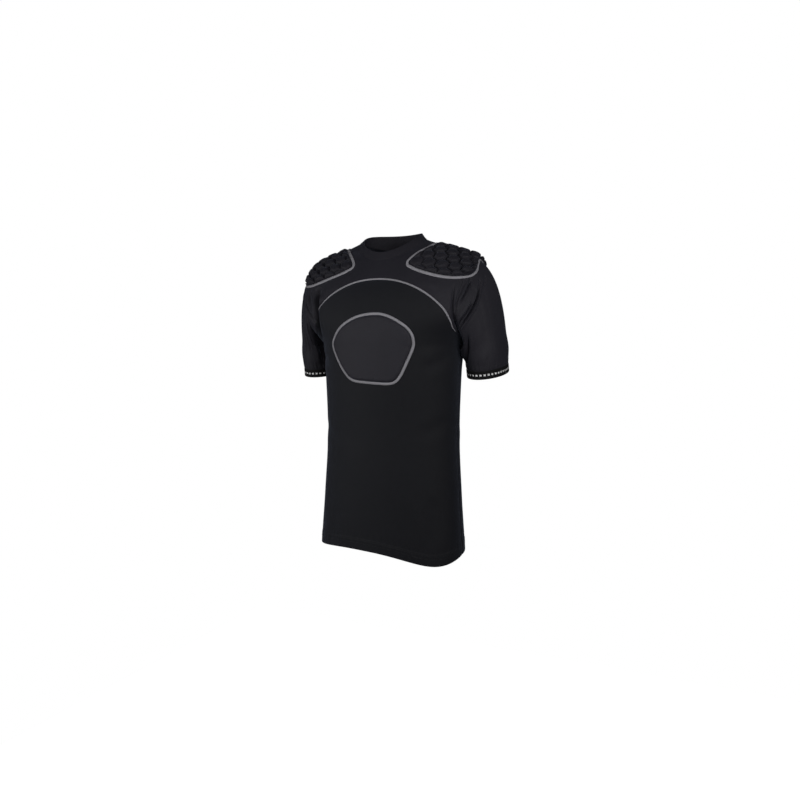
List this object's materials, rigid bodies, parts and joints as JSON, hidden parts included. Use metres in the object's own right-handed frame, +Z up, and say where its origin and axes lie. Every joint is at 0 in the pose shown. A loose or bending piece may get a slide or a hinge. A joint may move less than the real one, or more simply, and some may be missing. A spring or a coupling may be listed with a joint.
{
  "type": "rugby shoulder pads",
  "caption": "Short-sleeved stretch rugby top, filled out as when worn, with hexagon-cell foam shoulder pads, a foam chest pad, a low stand collar and elastic cuffs.",
  "frame": {"origin": "middle of the neck opening, at the height of the shoulder seams, where the wearer's shoulders hold the top up", "axes": "+Z up along the wearer's spine, -Y the way the wearer faces, +X towards the wearer's left"},
  "size_m": [0.5188, 0.2559, 0.7403],
  "materials": {
    "body_cloth": "matte black stretch knit with a faint sheen",
    "yoke_cloth": "black stretch knit, a little smoother and bluer",
    "pad_cloth": "black stretch knit bonded over foam",
    "band_cloth": "dense black woven elastic",
    "trim_cloth": "grey satin-stitched edging"
  },
  "bodies": {
    "root": {"front_body": "body_cloth", "front_yoke": "yoke_cloth", "back_body": "body_cloth", "collar": "yoke_cloth", "sleeve_left": "yoke_cloth", "sleeve_right": "yoke_cloth", "cuff_left": "band_cloth", "cuff_right": "band_cloth", "chest_pad": "pad_cloth", "chest_trim": "trim_cloth", "yoke_trim": "trim_cloth", "shoulder_pad_left": "pad_cloth", "shoulder_pad_right": "pad_cloth", "shoulder_trim_left": "trim_cloth", "shoulder_trim_right": "trim_cloth"}
  },
  "joints": []
}
